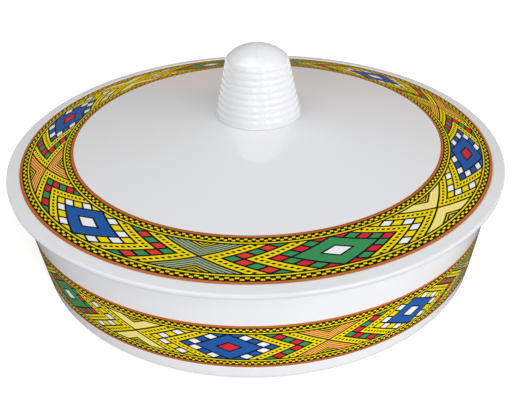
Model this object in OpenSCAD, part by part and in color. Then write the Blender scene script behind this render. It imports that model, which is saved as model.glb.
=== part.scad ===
// Lidded injera serving bowl with a ribbed knob and two printed decor bands.
// Millimetres, +Z up. The origin is the centre of the foot, on the table.

/* [Bowl] */
// Height of the bowl's rim above the table
rim_z = 95.7; // [88:0.1:108]
// Outer radius of the bowl at its rim
rim_r = 219; // [190:0.5:246]
// Height of the waist, where the flared collar meets the belly
waist_z = 63.2; // [56:0.1:70]
// How far the waist lies inside the rim
waist_in = 5; // [3:0.2:9]
// Radius of the belly's curve, seen in section
belly_curve = 1500; // [900:50:3000]
// Lean of the belly's curve at the waist, in degrees from upright
belly_lean = 5; // [3:0.1:8]
// Radius of the heel, from the belly round to the foot
heel_round = 7.3; // [5:0.1:10]
// Thickness of the bowl's wall
bowl_wall = 4.6; // [3.6:0.1:6]
// Thickness of the bowl's floor
floor_t = 4.6; // [3:0.1:7]
// Height of the hollow inside the foot ring, under the floor
foot_hollow = 3.4; // [2:0.1:6]
// Width of the foot ring that stands on the table
foot_w = 9; // [7:0.5:16]
// Radius of the round between the floor and the wall, inside
floor_round = 9; // [6:0.5:14]
// Chamfer on both edges of the rim
rim_chamfer = 0.9; // [0.4:0.1:1.4]

/* [Lid] */
// How far the lid's lip reaches past the bowl's rim
lid_overhang = 6.4; // [4:0.2:9]
// Height of the lid's round lip
lip_h = 6.4; // [5:0.2:8]
// Width of the margin, from the lip's edge in to the crown
margin_w = 10.8; // [8:0.2:14]
// Drop from the margin to the crown's edge
crown_drop = 1.2; // [0.6:0.1:2]
// Rise of the crown from its edge to the knob's seat
crown_rise = 28.2; // [24:0.2:33]
// Slope of the crown at its outer edge, in degrees
crown_angle = 9.8; // [9:0.1:12]
// Thickness of the lid's wall, measured upright
lid_wall = 4.6; // [3.6:0.1:6]
// Depth of the locating skirt below the bowl's rim
skirt_h = 8.6; // [5:0.2:14]
// Thickness of the locating skirt
skirt_t = 3.4; // [2.4:0.1:5]
// Gap between the skirt and the inside of the bowl's collar
skirt_gap = 0.8; // [0.5:0.1:1.5]

/* [Decor bands] */
// Thickness of the printed foil
foil_t = 0.4; // [0.2:0.1:0.8]
// Drop from the waist to the upper edge of the bowl's band
bowl_band_drop = 0.4; // [0.2:0.1:4]
// Height of the band's lower edge above the end of the heel's round
bowl_band_up = 10.3; // [1:0.1:20]
// Distance from the crown's edge in to the lid's band
lid_band_inset = 0.4; // [0.2:0.1:6]
// Width of the lid's band, measured level
lid_band_w = 46.5; // [30:0.5:70]

/* [Knob] */
// Radius of the knob at its foot
knob_foot_r = 39.2; // [36:0.2:44]
// Radius of the knob where its dome starts
knob_neck_r = 27.2; // [24:0.2:30]
// Height of the knob's tapered side
knob_side_h = 53.3; // [50:0.1:58]
// Height of the dome above the side
knob_dome_h = 10.9; // [8:0.1:15]
// Radius of the round at the knob's foot
knob_foot_round = 2.5; // [1.5:0.1:3.5]
// Thickness of the knob's wall
knob_wall = 4.6; // [3.6:0.1:6]
// Number of ribs round the knob
rib_count = 9; // [5:1:10]
// Height of the lowest rib above the knob's seat
rib_first = 5.4; // [5:0.1:7]
// Distance from the highest rib up to the dome
rib_last = 3.1; // [2.3:0.1:5]
// Radius of a rib's round back
rib_round = 3.4; // [3:0.1:4]
// How far a rib stands out of the knob's side
rib_out = 0.7; // [0.4:0.1:1.2]

/* [Knob fixing] */
// Radius of the screw's shank
screw_r = 3; // [2.5:0.1:3.5]
// Length of the screw inside the insert
screw_grip = 15.8; // [10:0.2:22]
// Radius of the screw's head
head_r = 6; // [5:0.1:7]
// Height of the screw's head
head_h = 3.8; // [3:0.1:5]
// Width of each arm of the driver recess in the head
recess_w = 1.4; // [1:0.1:2]
// Length of each arm of the driver recess, tip to tip
recess_len = 7; // [5:0.2:8]
// Depth of the driver recess
recess_depth = 2; // [1:0.1:2.4]
// Radius of the washer
washer_r = 9.5; // [8:0.1:12]
// Thickness of the washer
washer_t = 1.6; // [1:0.1:2.5]
// Thickness of the threaded insert's wall
insert_wall = 2.45; // [1.5:0.05:3.5]
// Length of the insert past the screw's tip
insert_spare = 2.2; // [1:0.1:4]
// Thickness of the knob's boss round the insert
boss_wall = 4.5; // [3:0.1:6]
// Play between the screw and the holes it passes through
screw_play = 0.3; // [0.2:0.05:0.5]
// Play between the screw and the thread of the insert
thread_play = 0.05; // [0.02:0.01:0.1]

/* [Hidden] */
$fn = 180;

white = [0.93, 0.93, 0.92];
print_yellow = [0.86, 0.74, 0.12];
brass = [0.78, 0.62, 0.28];
steel = [0.72, 0.73, 0.75];
seal_grey = [0.35, 0.36, 0.38];

// Spare length that lets a cut run past the solid it cuts
past = 1;
// Steps along each curved stretch of a section
belly_steps = 16;
round_steps = 10;
crown_steps = 8;
lip_steps = 16;
rib_steps = 4;
dome_steps = 8;

// Radii that follow the bowl's rim
waist_r = rim_r - waist_in;
lid_r = rim_r + lid_overhang;
crown_r = lid_r - margin_w;

// Belly: an arc about one centre, set by the waist and by its lean there
belly_x = waist_r - belly_curve * cos(belly_lean);
belly_z = waist_z + belly_curve * sin(belly_lean);
inner_curve = belly_curve - bowl_wall;
floor_top = foot_hollow + floor_t;
collar_flare = (rim_r - waist_r) / (rim_z - waist_z);

// Points of an arc, from one angle to another
function arc(x, z, r, a_from, a_to, steps) =
    [for (i = [0 : steps]) let (a = a_from + (a_to - a_from) * i / steps) [x + r * cos(a), z + r * sin(a)]];
// Angle on the belly's arc, drawn in by a depth, at a height
function belly_angle(z, depth) = asin((z - belly_z) / (belly_curve - depth));
// Line of the belly between two angles, drawn in by a depth
function belly_line(a_from, a_to, depth) =
    arc(belly_x, belly_z, belly_curve - depth, a_from, a_to, belly_steps);
function belly_r(z) = belly_x + sqrt(pow(belly_curve, 2) - pow(belly_z - z, 2));

// Heel, touching the belly and the table
heel_x = belly_x + sqrt(pow(belly_curve - heel_round, 2) - pow(belly_z - heel_round, 2));
heel_angle = atan2(heel_round - belly_z, heel_x - belly_x);
heel_top = heel_round + heel_round * sin(heel_angle);
foot_in_r = heel_x - foot_w;

// Bowl's band, from above the heel to below the waist
bowl_band_top = waist_z - bowl_band_drop;
bowl_band_bottom = heel_top + bowl_band_up;
// Line of the bowl's band from its lower to its upper edge, drawn in by a depth
function band_line(depth) =
    belly_line(belly_angle(bowl_band_bottom, depth), belly_angle(bowl_band_top, depth), depth);

// Round between the floor and the inside of the wall, touching both
round_z = floor_top + floor_round;
round_x = belly_x + sqrt(pow(inner_curve - floor_round, 2) - pow(belly_z - round_z, 2));
round_angle = atan2(round_z - belly_z, round_x - belly_x);

// Lid heights and the crown's curve: a slope that eases towards the knob
margin_z = rim_z + lip_h;
edge_z = margin_z - crown_drop;
seat_z = edge_z + crown_rise;
seat_r = knob_foot_r - knob_foot_round / 2;
lip_round = lip_h / 2;
crown_run = crown_r - seat_r;
crown_ease = (crown_run * tan(crown_angle) - crown_rise) / pow(crown_run, 2);
function crown_z(r) = edge_z + tan(crown_angle) * (crown_r - r) - crown_ease * pow(crown_r - r, 2);
// Line of the crown between two radii, dropped by a depth
function crown_line(r_from, r_to, drop) =
    [for (i = [0 : crown_steps]) let (r = r_from + (r_to - r_from) * i / crown_steps) [r, crown_z(r) - drop]];

// Lid's band, inside the crown's edge
lid_band_out = crown_r - lid_band_inset;
lid_band_in = lid_band_out - lid_band_w;

// Locating skirt, parallel to the collar's inside
skirt_top_r = rim_r - bowl_wall - skirt_gap;
skirt_low_r = skirt_top_r - skirt_h * collar_flare;
skirt_in_r = skirt_low_r - skirt_t;

// Knob fixing: the screw runs through the washer and the lid into the insert
under_z = seat_z - lid_wall;
head_z = under_z - washer_t;
screw_hole_r = screw_r + screw_play;
screw_len = washer_t + lid_wall + screw_grip;
thread_r = screw_r + thread_play;
insert_r = thread_r + insert_wall;
insert_len = screw_grip + insert_spare;

// Knob: a tapered side under a dome, heights measured from its seat
dome_curve = (pow(knob_neck_r, 2) + pow(knob_dome_h, 2)) / (2 * knob_dome_h);
dome_centre = knob_side_h + knob_dome_h - dome_curve;
dome_angle = acos(knob_neck_r / dome_curve);
side_lean = (knob_foot_r - knob_neck_r) / (knob_side_h - knob_foot_round);
function side_r(h) = knob_foot_r - (h - knob_foot_round) * side_lean;
boss_r = insert_r + boss_wall;
hollow_top = knob_side_h - knob_wall;

// Ribs: equal arcs whose centres lie on one line inside the knob's side
rib_pitch = (knob_side_h - rib_first - rib_last) / (rib_count - 1);
rib_turn = atan(side_lean);
rib_half = acos((rib_round - rib_out) / rib_round);
function rib_line(h) =
    arc(side_r(h) - (rib_round - rib_out) * cos(rib_turn), h - (rib_round - rib_out) * sin(rib_turn),
        rib_round, rib_turn - rib_half, rib_turn + rib_half, rib_steps);

module base_bowl_section() {
    polygon(concat(
        [[0, foot_hollow], [foot_in_r, foot_hollow], [foot_in_r, 0]],
        arc(heel_x, heel_round, heel_round, -90, heel_angle, round_steps),
        [[belly_r(bowl_band_bottom), bowl_band_bottom]],
        band_line(foil_t),
        [
            [belly_r(bowl_band_top), bowl_band_top],
            [waist_r, waist_z],
            [rim_r - rim_chamfer * collar_flare, rim_z - rim_chamfer],
            [rim_r - rim_chamfer, rim_z],
            [rim_r - bowl_wall + rim_chamfer, rim_z],
            [rim_r - bowl_wall - rim_chamfer * collar_flare, rim_z - rim_chamfer]
        ],
        belly_line(belly_angle(waist_z, bowl_wall), round_angle, bowl_wall),
        arc(round_x, round_z, floor_round, round_angle, -90, round_steps),
        [[0, floor_top]]
    ));
}

// Moulded bowl: foot ring, round heel, convex belly with the foil's recess, flared collar and floor
module base_bowl() {
    color(white) rotate_extrude() base_bowl_section();
}

// Printed foil, flush in the belly
module base_band() {
    color(print_yellow) rotate_extrude() polygon(concat(
        band_line(0),
        [for (i = [belly_steps : -1 : 0]) band_line(foil_t)[i]]
    ));
}

module lid_section() {
    polygon(concat(
        [[screw_hole_r, seat_z]],
        crown_line(seat_r, lid_band_in, 0),
        crown_line(lid_band_in, lid_band_out, foil_t),
        [[lid_band_out, crown_z(lid_band_out)], [crown_r, edge_z], [crown_r + crown_drop, margin_z]],
        arc(lid_r - lip_round, rim_z + lip_round, lip_round, 90, -90, lip_steps),
        [
            [skirt_top_r, rim_z],
            [skirt_low_r, rim_z - skirt_h],
            [skirt_in_r, rim_z - skirt_h]
        ],
        crown_line(skirt_in_r, seat_r, lid_wall),
        [[screw_hole_r, under_z]]
    ));
}

// Moulded lid: knob seat, crown with the foil's recess, raised margin, round lip and locating skirt
module lid_shell() {
    color(white) rotate_extrude() lid_section();
}

// Printed foil, flush in the lid's crown
module lid_band() {
    color(print_yellow) rotate_extrude() polygon(concat(
        crown_line(lid_band_in, lid_band_out, 0),
        crown_line(lid_band_out, lid_band_in, foil_t)
    ));
}

// Half section of the knob: the insert's pocket, the boss, the hollow, then the foot, ribs and dome
module knob_section() {
    polygon(concat(
        [
            [0, insert_len],
            [insert_r, insert_len],
            [insert_r, 0],
            [boss_r, 0],
            [boss_r, hollow_top],
            [side_r(hollow_top) - knob_wall, hollow_top],
            [side_r(0) - knob_wall, 0]
        ],
        arc(knob_foot_r - knob_foot_round, knob_foot_round, knob_foot_round, -90, 0, round_steps),
        [for (i = [0 : rib_count - 1]) each rib_line(rib_first + i * rib_pitch)],
        arc(0, dome_centre, dome_curve, dome_angle, 90, dome_steps)
    ));
}

// Ribbed hollow knob with a boss for its insert
module knob() {
    color(white) translate([0, 0, seat_z]) rotate_extrude() knob_section();
}

// Threaded brass insert in the knob's boss
module knob_insert() {
    color(brass) translate([0, 0, seat_z]) difference() {
        cylinder(r = insert_r, h = insert_len);
        translate([0, 0, -past]) cylinder(r = thread_r, h = insert_len + 2 * past);
    }
}

// Pan-head screw from under the lid, with a cross recess
module knob_screw() {
    color(steel) translate([0, 0, head_z]) difference() {
        union() {
            cylinder(r = screw_r, h = screw_len);
            translate([0, 0, -head_h]) cylinder(r = head_r, h = head_h);
        }
        for (turn = [0, 90]) {
            rotate(turn) translate([-recess_len / 2, -recess_w / 2, -head_h - past])
                cube([recess_len, recess_w, recess_depth + past]);
        }
    }
}

// Sealing washer between the lid and the screw's head
module knob_washer() {
    color(seal_grey) translate([0, 0, head_z]) difference() {
        cylinder(r = washer_r, h = washer_t);
        translate([0, 0, -past]) cylinder(r = screw_hole_r, h = washer_t + 2 * past);
    }
}

base_bowl();
base_band();
lid_shell();
lid_band();
knob();
knob_insert();
knob_screw();
knob_washer();
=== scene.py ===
"""Looks of a lidded injera serving bowl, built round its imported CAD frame.

Lengths are millimetres until a mesh is made. +Z is up and the foot stands on z = 0. An azimuth is
measured from the front, -Y, and grows towards +X, so a point of radius r lies at
(r sin a, -r cos a, z).
"""

import logging
import math
from dataclasses import dataclass
from enum import Enum
from typing import Any, Mapping, Optional, Sequence, Union

import bpy
import numpy as np
from mathutils import Matrix


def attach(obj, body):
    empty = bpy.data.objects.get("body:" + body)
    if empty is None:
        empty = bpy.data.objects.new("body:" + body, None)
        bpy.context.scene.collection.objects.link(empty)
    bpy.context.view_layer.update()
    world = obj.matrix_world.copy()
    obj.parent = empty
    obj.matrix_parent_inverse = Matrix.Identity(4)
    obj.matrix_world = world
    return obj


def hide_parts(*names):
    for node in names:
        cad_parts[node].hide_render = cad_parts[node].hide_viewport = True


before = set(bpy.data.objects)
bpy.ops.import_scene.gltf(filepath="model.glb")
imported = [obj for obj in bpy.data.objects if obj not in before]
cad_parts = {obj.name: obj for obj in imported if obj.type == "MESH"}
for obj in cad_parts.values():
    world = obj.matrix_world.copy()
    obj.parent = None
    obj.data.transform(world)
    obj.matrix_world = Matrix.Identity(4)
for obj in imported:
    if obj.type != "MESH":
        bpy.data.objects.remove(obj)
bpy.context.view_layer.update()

LOG = logging.getLogger("injera_bowl")
LID_PIECES = ("lid_moulding", "lid_decor")

MM = 0.001
FULL_TURN = 2.0 * np.pi

# Sizes that two assemblies share
RIM_Z = 95.7
WALL = 4.6
FOIL_T = 0.4
FOIL_GAP = 0.02
SEAT_R = 37.95
SEAT_Z = 129.1
INSERT_R = 5.5
INSERT_LEN = 18.0

# Steps of the meshes
ROUND_POINTS = 6
BAND_ROWS = 25
BAND_COLUMNS = 360
BAND_BACK_STEP = 4
ON_AXIS = 1e-6

# Polish of the mouldings and of the print under its glaze
MELAMINE_IOR = 1.58
PEEL_SCALE = 420.0
PEEL_STRENGTH = 0.3
PEEL_DEPTH = 0.00001
SMEAR_SCALE = 9.0
SMEAR_EDGE = 0.56
SMEAR_SOFT = 0.3

# Lamps and cards, in metres where they are lengths
LAMP_AIM_Z = 0.1
CARD_AIM_Z = 0.12
CARD_LOWEST = 0.001
CARD_COLUMNS = 41
CARD_ROWS = 17
CARD_CLOUDS = 1.5
CARD_SHADE = 0.94
CARD_ROUGH = 0.8
SEEN_RAYS = ("Camera", "Glossy", "Transmission")

Pair = tuple[float, float]
Triple = tuple[float, float, float]
Rgba = tuple[float, float, float, float]
Socket = bpy.types.NodeSocket
Paint = Union[Rgba, Socket]
Number = Union[float, "Signal"]


def linear(red: float, green: float, blue: float) -> Rgba:
    """Turn a screen colour into the linear colour that a shader takes.

    This is the sRGB curve: a straight line near black, and a power of 2.4 above it.

    Args:
        red: Red, from 0 to 255.
        green: Green, from 0 to 255.
        blue: Blue, from 0 to 255.

    Returns:
        Linear red, green, blue and an alpha of 1.
    """
    screen = np.array([red, green, blue]) / 255.0
    light = np.where(screen <= 0.04045, screen / 12.92, ((screen + 0.055) / 1.055) ** 2.4)
    return (float(light[0]), float(light[1]), float(light[2]), 1.0)


class Ink(Enum):
    """The printed colours of the two bands."""

    BLACK = (22, 22, 22)
    YELLOW = (245, 221, 6)
    COPPER = (193, 108, 42)
    BLUE = (36, 90, 163)
    GREEN = (60, 146, 88)
    TOMATO = (218, 64, 56)
    CRIMSON = (214, 42, 60)
    WHITE = (243, 244, 246)
    STRAW = (182, 188, 112)
    TEAL = (8, 76, 116)
    CREAM = (246, 238, 196)
    RUST = (190, 62, 14)
    AMBER = (250, 204, 94)

    @property
    def rgba(self) -> Rgba:
        """The ink as a linear colour."""
        return linear(*self.value)


class Body(Enum):
    """The CAD bodies that pieces ride on."""

    BOWL = "bowl"
    LID = "lid"


class Signal:
    """A number on a shader socket. Python operators on it add Math nodes to its sheet."""

    def __init__(self, sheet: "NodeSheet", socket: Socket) -> None:
        """Keep the socket and the sheet that it is on."""
        self.sheet = sheet
        self.socket = socket

    def __add__(self, other: Number) -> "Signal":
        """Add another number."""
        return self.sheet.math("ADD", self, other)

    __radd__ = __add__

    def __sub__(self, other: Number) -> "Signal":
        """Take another number away."""
        return self.sheet.math("SUBTRACT", self, other)

    def __rsub__(self, other: Number) -> "Signal":
        """Take this away from another number."""
        return self.sheet.math("SUBTRACT", other, self)

    def __mul__(self, other: Number) -> "Signal":
        """Multiply by another number."""
        return self.sheet.math("MULTIPLY", self, other)

    __rmul__ = __mul__

    def __truediv__(self, other: Number) -> "Signal":
        """Divide by another number."""
        return self.sheet.math("DIVIDE", self, other)

    def __rtruediv__(self, other: Number) -> "Signal":
        """Divide another number by this."""
        return self.sheet.math("DIVIDE", other, self)

    def __mod__(self, other: Number) -> "Signal":
        """Remainder of a floored division."""
        return self.sheet.math("FLOORED_MODULO", self, other)

    def __rmod__(self, other: Number) -> "Signal":
        """Remainder of another number's floored division by this."""
        return self.sheet.math("FLOORED_MODULO", other, self)

    def __abs__(self) -> "Signal":
        """Distance from nought."""
        return self.sheet.math("ABSOLUTE", self)

    def floor(self) -> "Signal":
        """Whole part, rounded down."""
        return self.sheet.math("FLOOR", self)

    def past(self, edge: float, soft: float) -> "Signal":
        """Mask that rises from 0 to 1 at an edge.

        Args:
            edge: Value at the middle of the rise.
            soft: Width of the rise.

        Returns:
            0 below the edge and 1 above it.
        """
        return self.sheet.math("MULTIPLY_ADD", self, 1.0 / soft, 0.5 - edge / soft, clamp=True)

    def within(self, low: float, high: float, soft: float) -> "Signal":
        """Mask that is 1 between two edges.

        Args:
            low: Lower edge.
            high: Upper edge.
            soft: Width of the rise at both edges.

        Returns:
            1 between the edges and 0 outside them.
        """
        return self.past(low, soft) - self.past(high, soft)

    def equals(self, number: float) -> "Signal":
        """Mask that is 1 where a whole number is this one."""
        return self.sheet.math("COMPARE", self, number, 0.5)


class NodeSheet:
    """A node tree with short ways to add nodes to it."""

    def __init__(self, tree: bpy.types.NodeTree) -> None:
        """Take over a tree and empty it."""
        self.tree = tree
        tree.nodes.clear()

    @classmethod
    def for_material(cls, name: str) -> tuple[bpy.types.Material, "NodeSheet"]:
        """Make a material with an empty sheet.

        Args:
            name: Name of the material.

        Returns:
            The material and its sheet.
        """
        material = bpy.data.materials.new(name)
        material.use_nodes = True
        return material, cls(material.node_tree)

    def node(self, kind: str, settings: Optional[Mapping[str, Any]] = None,
             sockets: Optional[Mapping[Union[str, int], Any]] = None) -> bpy.types.Node:
        """Add one node.

        Args:
            kind: Blender's name of the node type.
            settings: Properties, set before the sockets.
            sockets: Values or links of the input sockets, by name or number.

        Returns:
            The new node.
        """
        made = self.tree.nodes.new(kind)
        for key, value in (settings or {}).items():
            setattr(made, key, value)
        for key, value in (sockets or {}).items():
            source = value.socket if isinstance(value, Signal) else value
            if isinstance(source, Socket):
                self.tree.links.new(source, made.inputs[key])
            else:
                made.inputs[key].default_value = source
        return made

    def math(self, operation: str, *values: Number, clamp: bool = False) -> Signal:
        """Add a Math node.

        Args:
            operation: Blender's name of the operation.
            values: Its inputs, in order.
            clamp: Whether the result is kept from 0 to 1.

        Returns:
            The result.
        """
        settings = {"operation": operation, "use_clamp": clamp}
        made = self.node("ShaderNodeMath", settings, dict(enumerate(values)))
        return Signal(self, made.outputs[0])

    def blend(self, mask: Number, under: Paint, over: Paint, mode: str = "MIX") -> Socket:
        """Lay one colour over another.

        Args:
            mask: How much of the upper colour shows, from 0 to 1.
            under: Lower colour.
            over: Upper colour.
            mode: Blender's name of the way they mix.

        Returns:
            The mixed colour.
        """
        settings = {"data_type": "RGBA", "blend_type": mode}
        return self.node("ShaderNodeMix", settings, {0: mask, 6: under, 7: over}).outputs[2]

    def place(self) -> Socket:
        """Object coordinates in metres. In the world's sheet they are the direction of view."""
        return self.node("ShaderNodeTexCoord").outputs["Object"]

    def split(self, vector: Socket) -> tuple[Signal, Signal, Signal]:
        """Take a vector apart.

        Args:
            vector: The vector.

        Returns:
            Its x, y and z.
        """
        parts = self.node("ShaderNodeSeparateXYZ", None, {0: vector}).outputs
        return Signal(self, parts[0]), Signal(self, parts[1]), Signal(self, parts[2])

    def noise(self, vector: Socket, scale: float, detail: float = 3.0,
              rough: float = 0.5) -> Signal:
        """Cloudy noise.

        Args:
            vector: Where it is read.
            scale: Clouds in each metre.
            detail: Layers of finer clouds.
            rough: Strength of the finer clouds.

        Returns:
            A value from 0 to 1.
        """
        sockets = {"Vector": vector, "Scale": scale, "Detail": detail, "Roughness": rough}
        return Signal(self, self.node("ShaderNodeTexNoise", None, sockets).outputs[0])

    def stretched(self, vector: Socket, scale: Triple) -> Socket:
        """Scale a vector along its three axes.

        Args:
            vector: The vector.
            scale: Factors along x, y and z.

        Returns:
            The scaled vector.
        """
        settings = {"operation": "MULTIPLY"}
        return self.node("ShaderNodeVectorMath", settings, {0: vector, 1: scale}).outputs[0]

    def smears(self, vector: Socket) -> Signal:
        """Mask of the faint smears that wiping leaves."""
        return self.noise(vector, SMEAR_SCALE, detail=5.0, rough=0.6).past(SMEAR_EDGE, SMEAR_SOFT)

    def peel(self, vector: Socket) -> Signal:
        """Height of the fine orange peel of a polished face."""
        return self.noise(vector, PEEL_SCALE, detail=1.0)

    def bump(self, height: Signal, strength: float, depth: float) -> Socket:
        """Turn a height into a normal.

        Args:
            height: The height, from 0 to 1.
            strength: How much of it shows.
            depth: What a height of 1 measures, in metres.

        Returns:
            The bent normal.
        """
        sockets = {"Strength": strength, "Distance": depth, "Height": height}
        return self.node("ShaderNodeBump", None, sockets).outputs[0]

    def surface(self, sockets: Mapping[str, Any]) -> None:
        """Finish the sheet with a Principled shader.

        Args:
            sockets: Values or links of the shader's inputs.
        """
        shader = self.node("ShaderNodeBsdfPrincipled", None, sockets)
        self.node("ShaderNodeOutputMaterial", None, {0: shader.outputs[0]})


@dataclass(frozen=True)
class GlazedWhite:
    """Polished white melamine: faint clouding, rare specks, light orange peel and a scuffed foot."""

    name: str
    tone: Triple = (233, 234, 237)
    warm: Triple = (231, 232, 233)
    gloss: float = 0.01
    smudge: float = 0.012
    cloud_scale: float = 22.0
    speck: Triple = (176, 172, 166)
    speck_scale: float = 34.0
    speck_size: float = 0.012
    speck_from: float = 0.8
    speck_soft: float = 0.02
    speck_depth: float = 0.55
    smear_stretch: Triple = (1.0, 1.0, 2.5)
    scuff: Triple = (198, 196, 192)
    scuff_to: float = -1.0
    scuff_fade: float = 0.6
    scuff_least: float = 0.35
    scuff_depth: float = 0.7
    scuff_rough: float = 0.4
    scratch_stretch: Triple = (900.0, 60.0, 60.0)
    scratch_edge: float = 0.62
    scratch_soft: float = 0.1
    seam: bool = False
    seam_half: float = 0.3
    seam_from: float = 186.0
    seam_fade: float = 5.0
    seam_depth: float = 0.35
    seam_rise: float = 8.0

    def material(self) -> bpy.types.Material:
        """Build the material.

        Colour: two whites clouded by a slow noise, with specks where a cell noise is close to its
        point. Roughness grows in smears and under the height scuff_to, in millimetres. With seam, a
        fine mould line runs over the top in the plane x = 0.

        Returns:
            The material.
        """
        material, sheet = NodeSheet.for_material(self.name)
        place = sheet.place()
        x, _, z = sheet.split(place)
        clouds = sheet.noise(place, self.cloud_scale, detail=4.0)
        colour = sheet.blend(clouds, linear(*self.tone), linear(*self.warm))
        sockets = {"Vector": place, "Scale": self.speck_scale}
        cells = sheet.node("ShaderNodeTexVoronoi", {"feature": "F1"}, sockets).outputs
        lot, _, _ = sheet.split(cells["Color"])
        close = 1.0 - Signal(sheet, cells["Distance"]).past(self.speck_size, self.speck_size / 2.0)
        speck = close * lot.past(self.speck_from, self.speck_soft)
        colour = sheet.blend(speck * self.speck_depth, colour, linear(*self.speck))
        rough = self.gloss + sheet.smears(sheet.stretched(place, self.smear_stretch)) * self.smudge
        streaks = sheet.noise(sheet.stretched(place, self.scratch_stretch), 1.0, detail=2.0)
        scratches = streaks.past(self.scratch_edge, self.scratch_soft)
        worn = self.scuff_least + scratches * (1.0 - self.scuff_least)
        scuffed = (1.0 - z.past(self.scuff_to * MM, self.scuff_fade * MM)) * worn
        colour = sheet.blend(scuffed * self.scuff_depth, colour, linear(*self.scuff))
        height = sheet.peel(place) - scuffed * scratches
        if self.seam:
            middle = 1.0 - abs(x).past(self.seam_half * MM, self.seam_half * MM)
            line = middle * z.past(self.seam_from * MM, self.seam_fade * MM)
            colour = sheet.blend(line * self.seam_depth, colour, linear(*self.scuff))
            height = height + line * self.seam_rise
        sheet.surface({
            "Base Color": colour,
            "Roughness": rough + scuffed * self.scuff_rough,
            "IOR": MELAMINE_IOR,
            "Normal": sheet.bump(height, PEEL_STRENGTH, PEEL_DEPTH),
        })
        return material


@dataclass(frozen=True)
class MotifInks:
    """Colours of one diamond motif."""

    centre: Ink
    big: Ink
    ring_tip: Ink
    ring_next: Ink


@dataclass(frozen=True)
class CrossInks:
    """Colours of one crossing between two motifs."""

    chevron_tip: Ink
    chevron_next: Ink
    stripe_light: Ink
    stripe_dark: Ink
    tip: Ink


MOTIFS = (
    MotifInks(Ink.WHITE, Ink.BLUE, Ink.YELLOW, Ink.WHITE),
    MotifInks(Ink.WHITE, Ink.GREEN, Ink.CRIMSON, Ink.GREEN),
    MotifInks(Ink.CRIMSON, Ink.BLUE, Ink.BLUE, Ink.WHITE),
)
CROSSINGS = (
    CrossInks(Ink.GREEN, Ink.TOMATO, Ink.STRAW, Ink.TEAL, Ink.BLUE),
    CrossInks(Ink.YELLOW, Ink.WHITE, Ink.YELLOW, Ink.CREAM, Ink.WHITE),
    CrossInks(Ink.GREEN, Ink.CRIMSON, Ink.AMBER, Ink.RUST, Ink.CRIMSON),
)


@dataclass(frozen=True)
class BandLattice:
    """Measures of the woven-border pattern.

    Along the band one unit is half a motif. Across it, 1 is the band's edge. The slanted measure s is
    the distance from a motif's centre plus the height above the middle line times slope, so every
    outline of the pattern is a line of equal s, and past s = 1 lies the crossing. The measure t is
    their difference.
    """

    field: float = 0.586
    slope: float = 0.5667
    soft: float = 0.006
    centre: float = 0.107
    centre_line: float = 0.141
    lines: tuple[float, float, float, float, float] = (0.344, 0.505, 0.675, 0.833, 1.001)
    line_half: float = 0.0185
    cell: float = 0.17
    dot_pitch: float = 0.0788
    dot_half: float = 0.0235
    stripe_from: float = 0.002
    stripe_pitch: float = 0.0535
    stripe_first: float = 1.056
    stripe_half: float = 0.25
    stripe_soft: float = 0.1
    vee_from: float = 1.2
    vee_lines: tuple[Pair, Pair] = ((1.234, 1.252), (1.286, 1.304))
    vee_tip: float = 1.318
    border_soft: float = 0.008
    yellow_line: Pair = (0.640, 0.684)
    check_rows: Triple = (0.726, 0.788, 0.85)
    checks: int = 31
    check: Triple = (0.29, 0.71, 0.05)
    copper_from: float = 0.893
    threads: Pair = (118.0, 46.0)
    thread_shade: Pair = (0.93, 0.28)


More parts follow.
